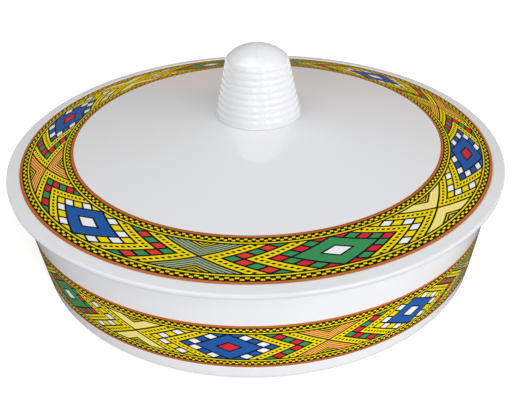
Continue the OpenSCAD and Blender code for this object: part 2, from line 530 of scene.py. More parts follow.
@dataclass(frozen=True)
class PrintedFoil:
    """Printed decor foil under a clear gloss, with a border pattern as on hand-woven cloth."""

    name: str
    check_turn: float
    lattice: BandLattice = BandLattice()
    gloss: float = 0.01
    smudge: float = 0.03
    glaze: float = 0.14

    def pick(self, sheet: NodeSheet, kind: Signal, inks: Sequence[Ink]) -> Socket:
        """Choose one of three inks by a whole number.

        Args:
            sheet: The node sheet.
            kind: 0, 1 or 2.
            inks: The three inks.

        Returns:
            The chosen colour.
        """
        first = sheet.blend(kind.equals(1.0), inks[0].rgba, inks[1].rgba)
        return sheet.blend(kind.equals(2.0), first, inks[2].rgba)

    def row(self, sheet: NodeSheet, s: Signal, t: Signal, inner: int,
            inks: tuple[Paint, Paint]) -> tuple[Signal, Socket]:
        """One slanted row of cells: they alternate along t from the tip, with black lines between.

        Args:
            sheet: The node sheet.
            s: Slanted measure across the row.
            t: Slanted measure along the row.
            inner: Number of the line on the row's inner side.
            inks: Colours of the tip cell and of the next one.

        Returns:
            Where the cells are, and their colour.
        """
        net = self.lattice
        along = (net.lines[inner] + net.cell - t) / net.cell
        odd = along.floor() % 2.0
        part = along % 1.0
        edge = net.line_half / net.cell
        inside = part.within(edge, 1.0 - edge, net.soft / net.cell)
        low = net.lines[inner] + net.line_half
        high = net.lines[inner + 1] - net.line_half
        return s.within(low, high, net.soft) * inside, sheet.blend(odd, inks[0], inks[1])

    def ladder(self, s: Signal, t: Signal, inner: int) -> Signal:
        """One slanted yellow stripe with a row of black dots along its middle.

        Args:
            s: Slanted measure across the stripe.
            t: Slanted measure along the stripe.
            inner: Number of the line on the stripe's inner side.

        Returns:
            Where the stripe is yellow.
        """
        net = self.lattice
        low = net.lines[inner]
        high = net.lines[inner + 1]
        middle = (low + high) / 2.0
        step = (middle - t) / net.dot_pitch + 0.5
        away = abs(step % 1.0 - 0.5) * net.dot_pitch
        across = abs(s - middle)
        dot = (1.0 - away.past(net.dot_half, net.soft)) * (1.0 - across.past(net.dot_half, net.soft))
        return s.within(low + net.line_half, high - net.line_half, net.soft) * (1.0 - dot)

    def crossing(self, sheet: NodeSheet, s: Signal, under: Paint, kind: Signal) -> Socket:
        """The triangles at a crossing: fine stripes, then black and yellow lines round a small tip.

        Args:
            sheet: The node sheet.
            s: Slanted measure.
            under: Colour of the pattern so far.
            kind: Which crossing it is.

        Returns:
            The colour with the triangles laid over it.
        """
        net = self.lattice
        wave = (s - net.stripe_first) / net.stripe_pitch + 0.5
        ridge = abs(wave % 1.0 - 0.5)
        dark = 1.0 - ridge.past(net.stripe_half, net.stripe_soft)
        stripes = sheet.blend(dark, self.pick(sheet, kind, [c.stripe_light for c in CROSSINGS]),
                              self.pick(sheet, kind, [c.stripe_dark for c in CROSSINGS]))
        start = net.lines[-1] + net.line_half + net.stripe_from
        colour = sheet.blend(s.within(start, net.vee_from, net.soft), under, stripes)
        vees = s.within(*net.vee_lines[0], net.soft) + s.within(*net.vee_lines[1], net.soft)
        colour = sheet.blend(vees, colour, Ink.YELLOW.rgba)
        tip = self.pick(sheet, kind, [c.tip for c in CROSSINGS])
        return sheet.blend(s.past(net.vee_tip, net.soft), colour, tip)

    def border(self, sheet: NodeSheet, along: Signal, across: Signal, under: Paint) -> Socket:
        """The straight borders: a yellow line, two rows of checks and a copper edge, on black.

        Args:
            sheet: The node sheet.
            along: Half motifs along the band.
            across: Distance from the middle line.
            under: Colour of the field.

        Returns:
            The whole pattern.
        """
        net = self.lattice
        soft = net.border_soft
        colour = sheet.blend(across.past(net.field, soft), under, Ink.BLACK.rgba)
        turn = (along * (net.checks / 2.0) + self.check_turn) % 1.0
        first = turn.within(*net.check)
        second = ((turn + 0.5) % 1.0).within(*net.check)
        yellow = across.within(*net.yellow_line, soft)
        yellow = yellow + across.within(net.check_rows[0], net.check_rows[1], soft) * first
        yellow = yellow + across.within(net.check_rows[1], net.check_rows[2], soft) * second
        colour = sheet.blend(yellow, colour, Ink.YELLOW.rgba)
        return sheet.blend(across.past(net.copper_from, soft), colour, Ink.COPPER.rgba)

    def material(self) -> bpy.types.Material:
        """Build the material on the band's own map: u counts half motifs, and v runs from 1 to -1.

        Returns:
            The material.
        """
        material, sheet = NodeSheet.for_material(self.name)
        net = self.lattice
        printed = sheet.node("ShaderNodeUVMap", {"uv_map": "print"}).outputs[0]
        along, signed, _ = sheet.split(printed)
        across = abs(signed)
        from_centre = abs((along + 1.0) % 2.0 - 1.0)
        motif = ((along + 1.0) / 2.0).floor() % float(len(MOTIFS))
        cross = (along / 2.0).floor() % float(len(CROSSINGS))
        lift = across * net.slope
        s = from_centre + lift
        t = from_centre - lift
        big = self.pick(sheet, motif, [k.big for k in MOTIFS])
        inside = s.within(net.centre_line, net.lines[0] - net.line_half, net.soft)
        colour = sheet.blend(inside, Ink.BLACK.rgba, big)
        centre = self.pick(sheet, motif, [k.centre for k in MOTIFS])
        colour = sheet.blend(1.0 - s.past(net.centre, net.soft), colour, centre)
        ring = (self.pick(sheet, motif, [k.ring_tip for k in MOTIFS]),
                self.pick(sheet, motif, [k.ring_next for k in MOTIFS]))
        chevron = (self.pick(sheet, cross, [c.chevron_tip for c in CROSSINGS]),
                   self.pick(sheet, cross, [c.chevron_next for c in CROSSINGS]))
        for inner, inks in ((0, ring), (2, chevron)):
            mask, cells = self.row(sheet, s, t, inner, inks)
            colour = sheet.blend(mask, colour, cells)
            colour = sheet.blend(self.ladder(s, t, inner + 1), colour, Ink.YELLOW.rgba)
        colour = self.crossing(sheet, s, colour, cross)
        colour = self.border(sheet, along, across, colour)
        warp = abs((signed * net.threads[1]) % 1.0 - 0.5)
        weft = abs((along * net.threads[0]) % 1.0 - 0.5)
        shade = net.thread_shade[0] + warp * weft * net.thread_shade[1]
        place = sheet.place()
        sheet.surface({
            "Base Color": sheet.blend(1.0, colour, shade.socket, "MULTIPLY"),
            "Roughness": self.gloss + sheet.smears(place) * self.smudge,
            "IOR": MELAMINE_IOR,
            "Specular IOR Level": self.glaze,
            "Normal": sheet.bump(sheet.peel(place), PEEL_STRENGTH, PEEL_DEPTH),
        })
        return material


@dataclass(frozen=True)
class TurnedMetal:
    """Bare metal with fine turning rings and a little tarnish."""

    name: str
    bright: Triple
    dull: Triple
    rings: float
    rough: float
    ring_spread: float = 20.0
    ring_strength: float = 0.4
    ring_depth: float = 0.00006
    ring_rough: float = 0.08
    tarnish_scale: float = 260.0
    tarnish_edge: float = 0.52
    tarnish_soft: float = 0.3
    tarnish_rough: float = 0.18

    def material(self) -> bpy.types.Material:
        """Build the material: rings along z, and tarnish that dulls the colour and the gloss.

        Returns:
            The material.
        """
        material, sheet = NodeSheet.for_material(self.name)
        place = sheet.place()
        patches = sheet.noise(place, self.tarnish_scale, detail=4.0, rough=0.6)
        tarnish = patches.past(self.tarnish_edge, self.tarnish_soft)
        stretch = (self.ring_spread, self.ring_spread, self.rings)
        lines = sheet.noise(sheet.stretched(place, stretch), 1.0, detail=2.0)
        sheet.surface({
            "Base Color": sheet.blend(tarnish, linear(*self.bright), linear(*self.dull)),
            "Metallic": 1.0,
            "Roughness": self.rough + tarnish * self.tarnish_rough + lines * self.ring_rough,
            "Normal": sheet.bump(lines, self.ring_strength, self.ring_depth),
        })
        return material


@dataclass(frozen=True)
class SealRubber:
    """Matt moulded rubber with a fine grain and some dust."""

    name: str
    tone: Triple = (66, 67, 70)
    dust: Triple = (104, 103, 100)
    dust_scale: float = 180.0
    dust_edge: float = 0.58
    dust_soft: float = 0.25
    dust_depth: float = 0.5
    dust_rough: float = 0.2
    rough: float = 0.62
    grain_scale: float = 2400.0
    grain_strength: float = 0.5
    grain_depth: float = 0.0001

    def material(self) -> bpy.types.Material:
        """Build the material: a fine grain in the normal, and dust in patches.

        Returns:
            The material.
        """
        material, sheet = NodeSheet.for_material(self.name)
        place = sheet.place()
        patches = sheet.noise(place, self.dust_scale, detail=4.0)
        dusty = patches.past(self.dust_edge, self.dust_soft)
        grain = sheet.noise(place, self.grain_scale, detail=2.0)
        sheet.surface({
            "Base Color": sheet.blend(dusty * self.dust_depth, linear(*self.tone), linear(*self.dust)),
            "Roughness": self.rough + dusty * self.dust_rough,
            "Normal": sheet.bump(grain, self.grain_strength, self.grain_depth),
        })
        return material


def arc(centre: Pair, radius: float, start: float, end: float, count: int) -> np.ndarray:
    """Points of a circle's arc: the centre plus the radius along each angle.

    Args:
        centre: Radius and height of the circle's centre.
        radius: Its radius.
        start: First angle, in degrees.
        end: Last angle, in degrees.
        count: Number of points.

    Returns:
        Rows of radius and height.
    """
    angle = np.radians(np.linspace(start, end, count))
    return np.stack([centre[0] + radius * np.cos(angle), centre[1] + radius * np.sin(angle)], axis=1)


def fillet(before: Sequence[float], corner: Sequence[float], after: Sequence[float], radius: float,
           count: int = ROUND_POINTS) -> np.ndarray:
    """Round one corner of a profile: the arc that touches both of its lines.

    Args:
        before: Point before the corner.
        corner: The corner.
        after: Point after it.
        radius: Radius of the round.
        count: Number of points on it.

    Returns:
        Rows of radius and height, from the first line to the second.
    """
    middle = np.asarray(corner, float)
    one = np.asarray(before, float) - middle
    two = np.asarray(after, float) - middle
    one = one / np.linalg.norm(one)
    two = two / np.linalg.norm(two)
    half = math.acos(float(np.clip(one @ two, -1.0, 1.0))) / 2.0
    inward = (one + two) / np.linalg.norm(one + two)
    centre = middle + inward * radius / math.sin(half)
    start = middle + one * radius / math.tan(half) - centre
    turn = math.pi - 2.0 * half
    side = math.copysign(1.0, start[0] * -inward[1] + start[1] * inward[0])
    angle = side * np.linspace(0.0, turn, count)
    cos, sin = np.cos(angle), np.sin(angle)
    return centre + np.stack([start[0] * cos - start[1] * sin, start[0] * sin + start[1] * cos], axis=1)


def rounded(corners: Sequence[Triple], count: int = ROUND_POINTS) -> np.ndarray:
    """Open line with rounded corners.

    Args:
        corners: Radius, height and rounding radius of each corner. The ends aren't rounded.
        count: Number of points on each round.

    Returns:
        Rows of radius and height.
    """
    parts = [np.array([corners[0][:2]], float)]
    for before, corner, after in zip(corners[:-2], corners[1:-1], corners[2:]):
        parts.append(fillet(before[:2], corner[:2], after[:2], corner[2], count))
    parts.append(np.array([corners[-1][:2]], float))
    return np.concatenate(parts)


def guarded(profile: np.ndarray, reach: float = 0.5) -> np.ndarray:
    """Put a point close to each end of every long step, so that smooth shading stays flat along it.

    Args:
        profile: Rows of radius and height.
        reach: Distance from a step's end to the new point. Steps over four times this are long.

    Returns:
        The profile with the new points in their places.
    """
    step = np.diff(profile, axis=0)
    length = np.linalg.norm(step, axis=1)
    number = np.flatnonzero(length > 4.0 * reach)
    along = step[number] / length[number, None] * reach
    points = np.concatenate([profile, profile[number] + along, profile[number + 1] - along])
    order = np.concatenate([np.arange(len(profile)), number + 0.25, number + 0.75])
    return points[np.argsort(order, kind="stable")]


@dataclass
class RoundMesh:
    """A closed surface wound round the axis from a grid of radii and heights.

    Row i and column j of the grid lie at azimuth start + 360 j / columns. The rows follow the section
    with the solid on their left, so the faces point outwards. A row on the axis becomes one point, a
    pole.
    """

    name: str
    radius: np.ndarray
    height: np.ndarray
    closed: bool
    start: float = 0.0

    @classmethod
    def lathe(cls, name: str, profile: np.ndarray, columns: int, closed: bool,
              start: float = 0.0) -> "RoundMesh":
        """Carry one profile round the axis.

        Args:
            name: Name of the piece.
            profile: Rows of radius and height.
            columns: Steps round the axis.
            closed: Whether the last row joins the first.
            start: Azimuth of the first column, in degrees.

        Returns:
            The round mesh.
        """
        ones = np.ones((1, columns))
        return cls(name, profile[:, :1] * ones, profile[:, 1:] * ones, closed, start)

    def points(self) -> np.ndarray:
        """Points of the grid: (r sin a, -r cos a, z), in metres.

        Returns:
            One row for each point of the grid.
        """
        columns = self.radius.shape[1]
        azimuth = np.radians(self.start) + np.linspace(0.0, FULL_TURN, columns, endpoint=False)
        x = self.radius * np.sin(azimuth)
        y = -self.radius * np.cos(azimuth)
        return np.stack([x, y, self.height], axis=-1).reshape(-1, 3) * MM

    def faces(self) -> np.ndarray:
        """Four-sided faces of the grid, by row and then by column.

        Returns:
            One row of four point numbers for each face.
        """
        rows, columns = self.radius.shape
        low = np.arange(rows if self.closed else rows - 1)[:, None] * columns
        high = (low + columns) % (rows * columns)
        here = np.arange(columns)[None, :]
        following = (here + 1) % columns
        corners = [low + here, low + following, high + following, high + here]
        return np.stack(corners, axis=-1).reshape(-1, 4)

    def build(self) -> bpy.types.Object:
        """Make the object. Rows on the axis are merged into poles, and their faces become triangles.

        Returns:
            The new object, with smooth faces.
        """
        points = self.points()
        faces = self.faces()
        rows, columns = self.radius.shape
        pole = np.repeat(self.radius.max(axis=1) < ON_AXIS, columns)
        number = np.arange(rows * columns)
        target = np.where(pole, number - number % columns, number)
        kept = np.flatnonzero(target == number)
        renumbered = np.cumsum(target == number) - 1
        faces = renumbered[target][faces]
        flat = faces[:, 0] == faces[:, 1]
        peak = faces[:, 2] == faces[:, 3]
        quads = faces[~flat & ~peak]
        triangles = np.concatenate([faces[flat][:, [0, 2, 3]], faces[peak][:, [0, 1, 2]]])
        mesh = bpy.data.meshes.new(self.name)
        mesh.from_pydata(points[kept].tolist(), [], quads.tolist() + triangles.tolist())
        mesh.polygons.foreach_set("use_smooth", np.ones(len(mesh.polygons), bool))
        mesh.update()
        made = bpy.data.objects.new(self.name, mesh)
        bpy.context.scene.collection.objects.link(made)
        return made


@dataclass
class BandMap:
    """The two maps of a printed band: where the pattern is read, and where it is baked.

    The pattern's u counts half motifs round the band, and its v runs from 1 to -1 over the first rows,
    which are the shown face. For baking, the band is cut into strips that lie above each other.
    """

    shown_rows: int
    half_motifs: int
    strips: int = 5
    pitch: float = 0.19
    tall: float = 0.184
    margin: float = 0.004
    hidden_gap: float = 0.012
    hidden_tall: float = 0.03

    def lay(self, mesh: bpy.types.Mesh, rows: int, columns: int) -> None:
        """Write both maps.

        Args:
            mesh: The band's mesh, with faces by row and then by column.
            rows: Rows of its grid.
            columns: Columns of its grid.
        """
        row = np.repeat(np.arange(rows), columns)[:, None] + np.array([[0, 0, 1, 1]])
        column = np.tile(np.arange(columns), rows)[:, None] + np.array([[0, 1, 1, 0]])
        last = self.shown_rows - 1
        shown = (row[:, :1] < last) & np.ones((1, 4), bool)
        across = np.clip(row / last, 0.0, 1.0)
        self.write(mesh, "print", column / columns * self.half_motifs, 1.0 - 2.0 * across)
        per_strip = columns // self.strips
        strip = (column[:, :1] // per_strip) * np.ones((1, 4), int)
        inside = (column - strip * per_strip) / per_strip
        wide = 1.0 - 2.0 * self.margin
        hidden = (row - last) / (rows - last)
        u = self.margin + wide * np.where(shown, inside, column / columns)
        v_hidden = self.strips * self.pitch + self.hidden_gap + self.hidden_tall * hidden
        v = np.where(shown, strip * self.pitch + self.margin + self.tall * across, v_hidden)
        self.write(mesh, "OFBake", u, v)

    def write(self, mesh: bpy.types.Mesh, name: str, u: np.ndarray, v: np.ndarray) -> None:
        """Add one map to a mesh.

        Args:
            mesh: The mesh.
            name: Name of the map.
            u: First coordinate of each face corner.
            v: Second coordinate of each face corner.
        """
        layer = mesh.uv_layers.new(name=name)
        flat = np.stack([u, v], axis=-1).astype(np.float32)
        layer.data.foreach_set("uv", flat.ravel())


Finish = Union[GlazedWhite, PrintedFoil, TurnedMetal, SealRubber]


def dress(piece: bpy.types.Object, finish: Finish, body: Body, node: str) -> None:
    """Give a piece its finish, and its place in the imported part.

    Args:
        piece: The piece.
        finish: Its finish.
        body: CAD body that it rides on.
        node: CAD node that it stands for.
    """
    piece.data.materials.append(finish.material())
    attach(piece, body.value)
    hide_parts(node)
    LOG.info("%s stands for %s on %s: %d faces", piece.name, node, body.value, len(piece.data.polygons))


def dressed_band(name: str, section: np.ndarray, first_motif: float,
                 half_motifs: int) -> bpy.types.Object:
    """Wind a printed band round the axis and lay its maps.

    Args:
        name: Name of the piece.
        section: Rows of radius and height, the shown face first.
        first_motif: Azimuth of a motif's centre, in degrees.
        half_motifs: Half motifs round the band.

    Returns:
        The band.
    """
    band = RoundMesh.lathe(name, section, BAND_COLUMNS, True, first_motif).build()
    BandMap(BAND_ROWS, half_motifs).lay(band.data, len(section), BAND_COLUMNS)
    return band


@dataclass
class Bowl:
    """The bowl and its printed band."""

    rim_z: float = RIM_Z
    rim_r: float = 219.0
    rim_round: float = 1.5
    wall: float = WALL
    waist_z: float = 63.2
    waist_r: float = 214.0
    waist_dip: float = 0.4
    waist_step: float = 0.02
    waist_edge: float = 0.05
    waist_round: float = 14.0
    belly_curve: float = 1500.0
    belly_lean: float = 5.0
    heel_round: float = 7.3
    floor_top: float = 8.0
    floor_round: float = 9.0
    foot_hollow: float = 3.4
    foot_w: float = 9.0
    foot_fillet: float = 1.6
    foot_edge: float = 0.7
    band_top: float = 62.8
    band_bottom: float = 16.7
    half_motifs: int = 18
    first_motif: float = 32.85
    columns: int = 300
    heel_points: int = 16
    low_points: int = 6
    recess_points: int = 20
    inner_points: int = 14

    def __post_init__(self) -> None:
        """Work out the centre of the belly's curve and the heel."""
        lean = math.radians(self.belly_lean)
        self.belly_x = self.waist_r - self.belly_curve * math.cos(lean)
        self.belly_z = self.waist_z + self.belly_curve * math.sin(lean)
        rise = self.belly_z - self.heel_round
        self.heel_x = self.belly_x + math.sqrt((self.belly_curve - self.heel_round) ** 2 - rise ** 2)
        self.heel_angle = math.degrees(math.atan2(-rise, self.heel_x - self.belly_x))

    def belly(self, heights: np.ndarray, depth: float) -> np.ndarray:
        """Line of the belly: a large circle, drawn in by a depth.

        Args:
            heights: Heights of the points.
            depth: Depth under the outer face.

        Returns:
            Rows of radius and height.
        """
        radius = self.belly_x + np.sqrt((self.belly_curve - depth) ** 2 - (self.belly_z - heights) ** 2)
        return np.stack([radius, heights], axis=1)

    def section(self) -> np.ndarray:
        """Half section of the bowl, from under its middle out, up and back to the middle of its floor.

        Returns:
            Rows of radius and height.
        """
        foot_in = self.heel_x - self.foot_w
        foot = rounded([
            (0.0, self.foot_hollow, 0.0),
            (foot_in, self.foot_hollow, self.foot_fillet),
            (foot_in, 0.0, self.foot_edge),
            (self.heel_x, 0.0, 0.0),
        ])
        heel = arc((self.heel_x, self.heel_round), self.heel_round, -90.0, self.heel_angle,
                   self.heel_points)
        low = self.belly(np.linspace(heel[-1, 1], self.band_bottom, self.low_points), 0.0)
        recess = self.belly(np.linspace(self.band_bottom, self.band_top, self.recess_points), FOIL_T)
        edge = self.belly(np.array([self.band_top]), 0.0)
        under_waist = self.belly(np.array([self.waist_z - self.waist_dip]), 0.0)[0]
        inner_z = np.linspace(self.waist_z, self.floor_top + self.floor_round, self.inner_points)
        inner = self.belly(inner_z, self.wall)
        collar = rounded([
            (edge[0, 0], edge[0, 1], 0.0),
            (under_waist[0] + self.waist_step, self.waist_z, self.waist_edge),
            (self.rim_r, self.rim_z, self.rim_round),
            (self.rim_r - self.wall, self.rim_z, self.rim_round),
            (inner[0, 0], inner[0, 1], self.waist_round),
            (inner[1, 0], inner[1, 1], 0.0),
        ])
        middle = (0.0, self.floor_top)
        floor = fillet(inner[-2], (inner[-1, 0], self.floor_top), middle, self.floor_round,
                       self.inner_points)
        outside = [foot, heel[1:], low[1:], recess, edge, collar[1:]]
        return guarded(np.concatenate([*outside, inner[2:-3], floor, np.array([middle])]))

    def band_section(self) -> np.ndarray:
        """Section of the printed foil, its shown face first, from the lower edge up.

        Returns:
            Rows of radius and height.
        """
        heights = np.linspace(self.band_bottom, self.band_top, BAND_ROWS)
        back = self.belly(heights[::-BAND_BACK_STEP], FOIL_T - FOIL_GAP)
        return np.concatenate([self.belly(heights, 0.0), back])

    def build(self) -> None:
        """Build and dress the bowl and its band."""
        # The bowl's white is set lighter and cooler than the lid's: painted light that makes up for light
        # its walls lack.
        white = GlazedWhite("bowl_white_melamine_painted_light", (236, 237, 241), (234, 235, 237), scuff_to=0.5)
        moulding = RoundMesh.lathe("bowl_moulding", self.section(), self.columns, False).build()
        dress(moulding, white, Body.BOWL, "base_bowl")
        band = dressed_band("bowl_decor", self.band_section(), self.first_motif, self.half_motifs)
        foil = PrintedFoil("bowl_decor_print", check_turn=0.0)
        dress(band, foil, Body.BOWL, "base_band")


@dataclass
class Lid:
    """The lid and its printed band."""

    rim_z: float = RIM_Z
    lid_r: float = 225.4
    lip_h: float = 6.4
    lip_round: float = 2.4
    lip_end: float = 83.0
    margin_w: float = 10.8
    step_h: float = 0.5
    step_edge: float = 0.6
    step_fillet: float = 0.3
    crown_drop: float = 1.2
    crown_rise: float = 28.2
    crown_angle: float = 9.8
    wall: float = WALL
    skirt_top_r: float = 213.6
    skirt_low_r: float = 212.28
    skirt_h: float = 8.6
    skirt_t: float = 3.4
    skirt_root: float = 2.5
    skirt_reach: float = 6.0
    skirt_edge: float = 1.2
    skirt_fillet: float = 1.0
    seat_r: float = SEAT_R
    seat_z: float = SEAT_Z
    hole_r: float = 3.3
    band_out: float = 214.2
    band_in: float = 167.7
    half_motifs: int = 12
    first_motif: float = -43.6
    columns: int = 240
    lip_points: int = 20
    recess_points: int = 20
    under_points: int = 30
    upper_points: int = 60

    def __post_init__(self) -> None:
        """Work out the crown's curve."""
        self.edge_z = self.rim_z + self.lip_h - self.crown_drop
        self.crown_r = self.lid_r - self.margin_w
        run = self.crown_r - self.seat_r
        self.steep = math.tan(math.radians(self.crown_angle))
        self.ease = (run * self.steep - self.crown_rise) / run ** 2

    def crown(self, radii: np.ndarray, drop: float) -> np.ndarray:
        """Line of the crown: it climbs inwards at a slope that eases towards the knob.

        Args:
            radii: Radii of the points.
            drop: Depth under the upper face.

        Returns:
            Rows of radius and height.
        """
        inward = self.crown_r - radii
        height = self.edge_z + self.steep * inward - self.ease * inward ** 2 - drop
        return np.stack([radii, height], axis=1)

    def section(self) -> np.ndarray:
        """Section of the lid: along its underside, round the skirt and lip, and back over its crown.

        Returns:
            Rows of radius and height, as a closed line.
        """
        skirt_in = self.skirt_low_r - self.skirt_t
        skirt_low = self.rim_z - self.skirt_h
        under_r = np.linspace(self.seat_r, skirt_in - self.skirt_reach, self.under_points)
        under = self.crown(under_r, self.wall)
        root = self.crown(np.array([skirt_in]), self.wall)[0]
        lip_r = self.lid_r - self.lip_round
        skirt = rounded([
            (under[-1, 0], under[-1, 1], 0.0),
            (root[0], root[1], self.skirt_root),
            (skirt_in, skirt_low, self.skirt_edge),
            (self.skirt_low_r, skirt_low, self.skirt_edge),
            (self.skirt_top_r, self.rim_z, self.skirt_fillet),
            (lip_r, self.rim_z, 0.0),
        ])
        lip = arc((lip_r, self.rim_z + self.lip_round), self.lip_round, -90.0, self.lip_end,
                  self.lip_points)
        step = rounded([
            (lip[-1, 0], lip[-1, 1], 0.0),
            (self.crown_r + self.step_h, self.edge_z + self.step_h, self.step_edge),
            (self.crown_r, self.edge_z, self.step_fillet),
            (self.band_out, self.crown(np.array([self.band_out]), 0.0)[0, 1], 0.0),
        ])
        recess = self.crown(np.linspace(self.band_out, self.band_in, self.recess_points), FOIL_T)
        upper = self.crown(np.linspace(self.band_in, self.seat_r, self.upper_points), 0.0)
        hole = np.array([[self.hole_r, self.seat_z], [self.hole_r, self.seat_z - self.wall]])
        outside = [under, skirt[1:], lip[1:], step[1:], recess, upper]
        return guarded(np.concatenate([hole[1:], *outside, hole[:1]]))

    def band_section(self) -> np.ndarray:
        """Section of the printed foil, its shown face first, from the outer edge in.

        Returns:
            Rows of radius and height.
        """
        radii = np.linspace(self.band_out, self.band_in, BAND_ROWS)
        back = self.crown(radii[::-BAND_BACK_STEP], FOIL_T - FOIL_GAP)
        return np.concatenate([self.crown(radii, 0.0), back])

    def build(self) -> None:
        """Build and dress the lid and its band."""
        moulding = RoundMesh.lathe("lid_moulding", self.section(), self.columns, True).build()
        dress(moulding, GlazedWhite("lid_white_melamine"), Body.LID, "lid_shell")
        band = dressed_band("lid_decor", self.band_section(), self.first_motif, self.half_motifs)
        foil = PrintedFoil("lid_decor_print", check_turn=0.5)
        dress(band, foil, Body.LID, "lid_band")


@dataclass
class Knob:
    """The hollow ribbed knob."""

    seat_z: float = SEAT_Z
    seat_r: float = SEAT_R
    seat_edge: float = 0.1
    wall: float = WALL
    foot_r: float = 39.2
    foot_round: float = 0.8
    foot_drop: float = 0.16
    neck_r: float = 27.2
    neck_lift: float = 0.1
    side_h: float = 53.3
    dome_h: float = 10.9
    dome_round: float = 3.0
    dome_from: float = 5.0
    rib_count: int = 9
    rib_first: float = 5.4
    rib_last: float = 3.1
    rib_out: float = 0.32
    rib_power: float = 0.55
    boss_r: float = 10.0
    boss_edge: float = 0.6
    boss_fillet: float = 2.0
    hollow_fillet: float = 3.0
    hollow_edge: float = 0.6
    pocket_fillet: float = 0.2
    pocket_edge: float = 0.3
    columns: int = 192
    rib_points: int = 20
    foot_points: int = 10
    dome_points: int = 40
    shoulder_points: int = 8

    def side(self, height: Union[float, np.ndarray]) -> Union[float, np.ndarray]:
        """Radius of the knob's tapered side, without its ribs.

        Args:
            height: Height above the seat, or an array of heights.

        Returns:
            The radius, or an array of radii.
        """
        lean = (self.foot_r - self.neck_r) / (self.side_h - self.foot_round)
        return self.foot_r - (height - self.foot_round) * lean

    def ribs(self) -> np.ndarray:
        """The ribbed side: the taper plus a wave with one crest for each rib, broadened by a power.

        Returns:
            Rows of radius and height.
        """
        pitch = (self.side_h - self.rib_first - self.rib_last) / (self.rib_count - 1)
        low = self.rib_first - pitch / 2.0
        height = np.linspace(low, low + pitch * self.rib_count, self.rib_points * self.rib_count + 1)
        wave = 0.5 - 0.5 * np.cos(FULL_TURN * (height - low) / pitch)
        return np.stack([self.side(height) + self.rib_out * wave ** self.rib_power, height], axis=1)

    def section(self) -> np.ndarray:
        """Half section of the knob: the insert's pocket, boss, hollow, foot, ribs and dome.

        Returns:
            Rows of radius and height.
        """
        hollow_top = self.side_h - self.wall
        foot_in = self.foot_r - self.foot_round
        inside = rounded([
            (0.0, INSERT_LEN, 0.0),
            (INSERT_R, INSERT_LEN, self.pocket_fillet),
            (INSERT_R, 0.0, self.pocket_edge),
            (self.boss_r, 0.0, self.boss_edge),
            (self.boss_r, hollow_top, self.boss_fillet),
            (self.side(hollow_top) - self.wall, hollow_top, self.hollow_fillet),
            (self.side(0.0) - self.wall, 0.0, self.hollow_edge),
            (self.seat_r, 0.0, self.seat_edge),
            (foot_in, -self.foot_drop, 0.0),
        ])
        foot = arc((foot_in, self.foot_round - self.foot_drop), self.foot_round, -90.0, 0.0,
                   self.foot_points)
        ribs = self.ribs()
        curve = (self.neck_r ** 2 + self.dome_h ** 2) / (2.0 * self.dome_h)
        centre = self.side_h + self.dome_h - curve
        neck = math.degrees(math.acos(self.neck_r / curve))
        dome = arc((0.0, centre), curve, neck + self.dome_from, 90.0, self.dome_points)
        dome[-1, 0] = 0.0
        corner = (self.neck_r, self.side_h + self.neck_lift)
        shoulder = fillet(ribs[-1], corner, dome[0], self.dome_round, self.shoulder_points)
        profile = guarded(np.concatenate([inside, foot[1:], ribs[:-2], shoulder, dome]))
        return profile + np.array([[0.0, self.seat_z]])

    def build(self) -> None:
        """Build and dress the knob."""
        # The knob's white is set darker and cooler than the lid's: painted shade that tones down the light
        # on it, and a painted cool cast of the side light.
        white = GlazedWhite("knob_white_melamine_painted_shade", (230, 232, 237), (228, 230, 234), seam=True)
        knob = RoundMesh.lathe("knob_moulding", self.section(), self.columns, False).build()
        dress(knob, white, Body.LID, "knob")


